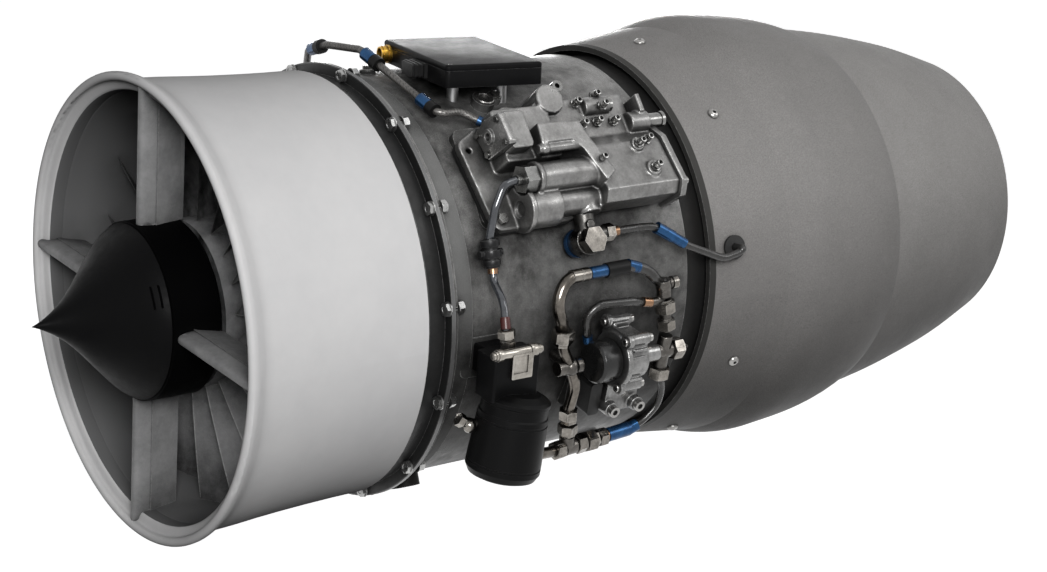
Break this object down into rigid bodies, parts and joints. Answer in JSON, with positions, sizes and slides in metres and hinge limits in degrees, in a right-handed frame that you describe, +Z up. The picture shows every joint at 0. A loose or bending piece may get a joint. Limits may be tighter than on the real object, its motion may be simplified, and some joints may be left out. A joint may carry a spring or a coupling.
{
  "type": "jet engine",
  "caption": "Small two-spool turbofan: spun intake with nose cone and struts, bare casing with fuel control, pump, filter and control box, bulged rear cowl and nozzle.",
  "frame": {"origin": "centre of the nozzle's exit", "axes": "+Y runs aft along the engine's axis, out of the nozzle, +Z is up, +X is the engine's left side, where the fuel control and the filter are"},
  "size_m": [0.4506, 0.981, 0.4062],
  "materials": {
    "intake_skin": "satin spun and brushed",
    "strut_silver": "satin",
    "hub_black": "matte black",
    "cone_black": "matte black",
    "fan_metal": "dark satin",
    "vane_metal": "dark satin",
    "fan_case_dark": "dark satin with a bright machined edge",
    "casing_metal": "dark mottled grey",
    "bolt_steel": "bright zinc",
    "screw_steel": "bright steel",
    "core_steel": "machined",
    "hot_steel": "heat tinted",
    "bearing_steel": "ground",
    "recess_dark": "matte black",
    "cowl_metal": "warm dark satin",
    "nozzle_metal": "warm dark satin",
    "grommet_dark": "matte",
    "box_black": "satin black",
    "standoff_metal": "machined",
    "connector_gold": "gold passivated",
    "plug_black": "matte",
    "conduit_grey": "satin grey-brown",
    "anodised_blue": "blue anodised",
    "sleeve_black": "matte",
    "gasket_black": "matte",
    "cast_metal": "grey casting",
    "cover_metal": "machined casting",
    "fitting_nickel": "bright",
    "gland_nickel": "satin nickel",
    "elbow_metal": "dark satin",
    "hose_black": "satin",
    "sense_clear": "glossy, grey-blue",
    "union_black": "black",
    "copper": "copper",
    "canister_black": "matte black",
    "head_black": "matte black",
    "clamp_nickel": "warm nickel",
    "motor_black": "satin black",
    "pump_metal": "dark machined casting",
    "bracket_black": "matte black",
    "nut_nickel": "warm nickel",
    "pipe_metal": "warm nickel",
    "tee_metal": "dark nickel"
  },
  "bodies": {
    "engine": {"intake_duct": "intake_skin", "inlet_struts": "strut_silver", "inlet_hub": "hub_black", "nose_cone": "cone_black", "fan_case": "fan_case_dark", "outlet_guide_vanes": "vane_metal", "main_casing": "casing_metal", "flange_bolts": "bolt_steel", "core_housing": "core_steel", "radial_diffuser": "core_steel", "burner_liner": "hot_steel", "fuel_injectors": "core_steel", "igniter_plugs": "core_steel", "turbine_stators": "hot_steel", "bearing_outer_races": "bearing_steel", "bearing_balls": "bearing_steel", "exhaust_cone": "hot_steel", "cowl_support_ring": "recess_dark", "rear_cowl": "cowl_metal", "exhaust_nozzle": "nozzle_metal", "cowl_screws": "screw_steel", "cowl_grommet": "grommet_dark", "control_box": "box_black", "control_box_lid": "box_black", "box_standoffs": "standoff_metal", "box_connector": "connector_gold", "box_plug": "plug_black", "wiring_conduit": "conduit_grey", "blue_bands": "anodised_blue", "black_sleeves": "sleeve_black", "control_gasket": "gasket_black", "fuel_control_body": "cast_metal", "fuel_control_covers": "cover_metal", "fuel_control_fittings": "fitting_nickel", "barrel_gland": "gland_nickel", "outlet_elbow": "elbow_metal", "outlet_hose": "hose_black", "sense_tubes": "sense_clear", "sense_union": "union_black", "copper_rings": "copper", "filter_canister": "canister_black", "filter_head": "head_black", "filter_clamp": "clamp_nickel", "pump_motor": "motor_black", "pump_body": "pump_metal", "pump_screws": "screw_steel", "pump_bracket": "bracket_black", "pipe_nuts": "nut_nickel", "fuel_pipes": "pipe_metal", "loop_hoses": "hose_black", "pipe_fittings": "tee_metal"},
    "fan_spool": {"fan_rotor": "fan_metal", "fan_nut": "fan_metal", "fan_shaft": "bearing_steel", "fan_turbine": "hot_steel", "fan_bearing_races": "bearing_steel"},
    "core_spool": {"impeller": "core_steel", "core_turbine": "hot_steel", "core_shaft": "bearing_steel", "core_bearing_races": "bearing_steel"}
  },
  "joints": [
    {"name": "fan_spool_spin", "type": "hinge", "parent": "engine", "child": "fan_spool", "pos_m": [0, -0.593, 0], "axis": [0, 1, 0], "continuous": true},
    {"name": "core_spool_spin", "type": "hinge", "parent": "engine", "child": "core_spool", "pos_m": [0, -0.593, 0], "axis": [0, 1, 0], "continuous": true}
  ]
}
